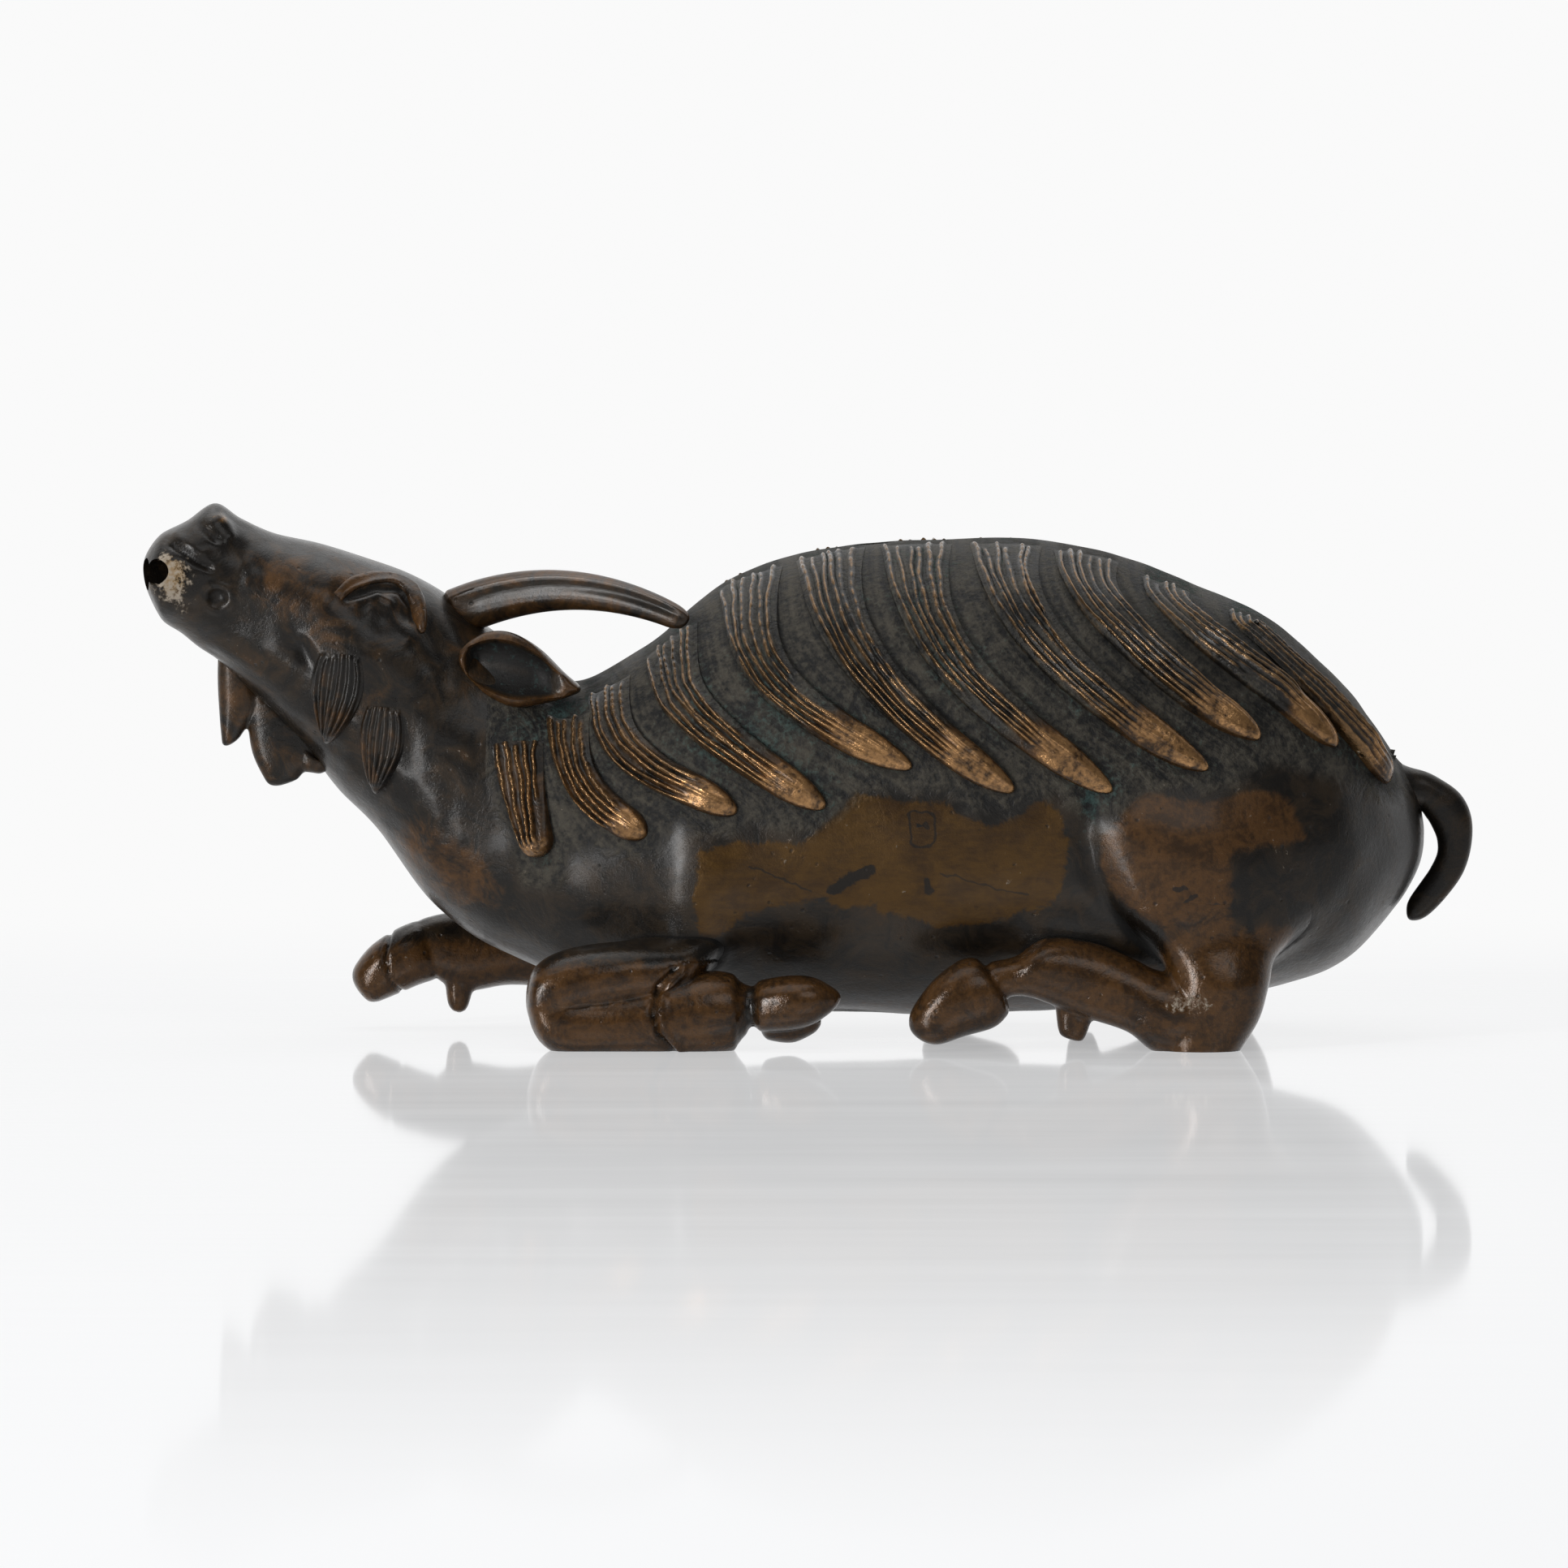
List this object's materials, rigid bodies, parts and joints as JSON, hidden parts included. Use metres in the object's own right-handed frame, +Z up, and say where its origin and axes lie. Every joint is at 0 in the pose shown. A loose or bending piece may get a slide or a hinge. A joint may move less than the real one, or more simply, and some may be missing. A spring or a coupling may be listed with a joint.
{
  "type": "calligraphy water dropper",
  "caption": "Hollow cast bronze water dropper shaped as a lying horned beast with its head raised; water enters at the back and drips from the mouth.",
  "frame": {"origin": "centre of the bounding box, on the table", "axes": "+Z up from the table, the muzzle points to -X, the near flank of the picture faces -Y"},
  "size_m": [0.14, 0.0517, 0.0565],
  "materials": {
    "dark_patina": "semi-gloss dark brown patina on cast bronze",
    "worn_bronze": "rubbed golden brown patina on cast bronze",
    "polished_copper": "patina worn through to warm metal on the raised hair"
  },
  "bodies": {
    "root": {"body_shell": "dark_patina", "head_and_neck": "dark_patina", "horn": "worn_bronze", "near_ear": "worn_bronze", "far_ear": "worn_bronze", "beard": "dark_patina", "near_brow": "dark_patina", "far_brow": "dark_patina", "near_front_cheek_tuft": "dark_patina", "near_rear_cheek_tuft": "dark_patina", "far_front_cheek_tuft": "dark_patina", "far_rear_cheek_tuft": "dark_patina", "near_foreleg": "worn_bronze", "far_foreleg": "worn_bronze", "near_hind_leg": "worn_bronze", "far_hind_leg": "worn_bronze", "tail": "dark_patina", "belly_plate": "dark_patina", "near_flank_patch": "worn_bronze", "far_flank_patch": "worn_bronze", "near_lock_ruff": "polished_copper", "near_lock_neck_front": "polished_copper", "near_lock_neck_rear": "polished_copper", "near_lock_withers": "polished_copper", "near_lock_shoulder": "polished_copper", "near_lock_back_1": "polished_copper", "near_lock_back_2": "polished_copper", "near_lock_back_3": "polished_copper", "near_lock_loin": "polished_copper", "near_lock_croup": "polished_copper", "near_lock_rump": "polished_copper", "far_lock_ruff": "polished_copper", "far_lock_neck_front": "polished_copper", "far_lock_neck_rear": "polished_copper", "far_lock_withers": "polished_copper", "far_lock_shoulder": "polished_copper", "far_lock_back_1": "polished_copper", "far_lock_back_2": "polished_copper", "far_lock_back_3": "polished_copper", "far_lock_loin": "polished_copper", "far_lock_croup": "polished_copper", "far_lock_rump": "polished_copper"}
  },
  "joints": []
}
